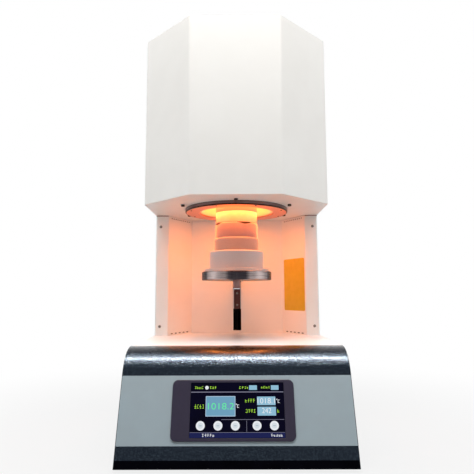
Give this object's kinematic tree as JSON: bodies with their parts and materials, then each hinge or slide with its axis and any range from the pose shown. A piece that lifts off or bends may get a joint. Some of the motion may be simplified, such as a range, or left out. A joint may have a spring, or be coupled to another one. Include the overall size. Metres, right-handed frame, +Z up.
{
  "type": "zirconia sintering furnace",
  "caption": "Benchtop bottom-loading sintering furnace: a motor lift raises a crucible on an insulated stack into a heated chamber above a touch screen base.",
  "frame": {"origin": "on the floor, on the chamber's axis, at the centre of the footprint", "axes": "+Z up, +X right and -Y towards the user"},
  "size_m": [0.388, 0.4764, 0.805],
  "materials": {
    "white_paint": "smooth satin powder coat",
    "dark_hammertone": "glossy hammertone",
    "grey_panel": "satin",
    "black_strip": "satin",
    "dark_bezel": "satin gloss",
    "screen_glass": "lit screen under glass",
    "module_case": "matte",
    "galvanised_steel": "zinc coated",
    "stainless_steel": "brushed",
    "insulation": "fibrous, matte",
    "crucible_ceramic": "fine matte",
    "element_ceramic": "glassy skin",
    "probe_ceramic": "fine matte",
    "block_aluminium": "machined",
    "rod_steel": "ground",
    "motor_black": "satin",
    "fan_plastic": "matte",
    "guard_steel": "plated",
    "switch_plastic": "matte",
    "rocker_plastic": "gloss",
    "gland_plastic": "matte",
    "transformer_iron": "laminated, varnished",
    "sink_aluminium": "extruded",
    "board_green": "solder mask",
    "foot_rubber": "matte"
  },
  "bodies": {
    "furnace": {"alcove_liner": "white_paint", "base_cabinet": "white_paint", "base_pan": "galvanised_steel", "cable_gland": "gland_plastic", "chamber_casing": "galvanised_steel", "chamber_roof": "insulation", "column_left": "white_paint", "column_right": "white_paint", "control_board": "board_green", "control_panel": "grey_panel", "display_bezel": "dark_bezel", "display_glass": "screen_glass", "display_module": "module_case", "element_clamps": "crucible_ceramic", "fan_frame": "fan_plastic", "fan_guard": "guard_steel", "foot_front_left": "foot_rubber", "foot_front_right": "foot_rubber", "foot_rear_left": "foot_rubber", "foot_rear_right": "foot_rubber", "front_cover": "dark_hammertone", "guide_rod_left": "rod_steel", "guide_rod_right": "rod_steel", "heating_element_1": "element_ceramic", "heating_element_2": "element_ceramic", "heating_element_3": "element_ceramic", "heating_element_4": "element_ceramic", "housing_floor": "white_paint", "housing_shell": "white_paint", "housing_top": "white_paint", "insulation_ring_1": "insulation", "insulation_ring_2": "insulation", "kick_strip": "black_strip", "lift_motor": "motor_black", "lift_spine": "galvanised_steel", "lower_block": "block_aluminium", "mouth_ring": "stainless_steel", "power_regulator": "sink_aluminium", "rear_cover": "white_paint", "rear_panel": "white_paint", "switch_frame": "switch_plastic", "thermocouple": "probe_ceramic", "throat_ring": "insulation", "transformer": "transformer_iron", "upper_block": "block_aluminium"},
    "tray_lift": {"carriage": "block_aluminium", "lift_arm": "stainless_steel", "tray_plate": "stainless_steel", "tray_insulation": "insulation", "stack_lower": "insulation", "stack_middle": "insulation", "stack_upper": "insulation"},
    "lead_screw": {"lead_screw": "rod_steel", "motor_shaft": "rod_steel", "screw_coupler": "block_aluminium"},
    "crucible": {"crucible": "crucible_ceramic"},
    "crucible_lid": {"crucible_lid": "crucible_ceramic"},
    "power_switch": {"switch_rocker": "rocker_plastic"},
    "fan_rotor": {"fan_rotor": "fan_plastic"}
  },
  "joints": [
    {"name": "tray_lift", "type": "slide", "parent": "furnace", "child": "tray_lift", "axis": [0, 0, 1], "range_m": [-0.097, 0.128]},
    {"name": "screw_turn", "type": "hinge", "parent": "furnace", "child": "lead_screw", "pos_m": [0, 0.191, 0.3], "axis": [0, 0, 1], "range_deg": [-4620, 3500]},
    {"name": "crucible_lift", "type": "slide", "parent": "tray_lift", "child": "crucible", "axis": [0, 0, 1], "range_m": [0, 0.03]},
    {"name": "lid_lift", "type": "slide", "parent": "crucible", "child": "crucible_lid", "axis": [0, 0, 1], "range_m": [0, 0.02]},
    {"name": "power_switch", "type": "hinge", "parent": "furnace", "child": "power_switch", "pos_m": [0.12, 0.227, 0.12], "axis": [1, 0, 0], "range_deg": [-24, 0]},
    {"name": "fan_spin", "type": "hinge", "parent": "furnace", "child": "fan_rotor", "pos_m": [-0.12, 0.215, 0.095], "axis": [0, 1, 0], "continuous": true}
  ],
  "couplings": [
    {"joint": "screw_turn", "follows": "tray_lift", "rad_per_m": -628.32}
  ]
}
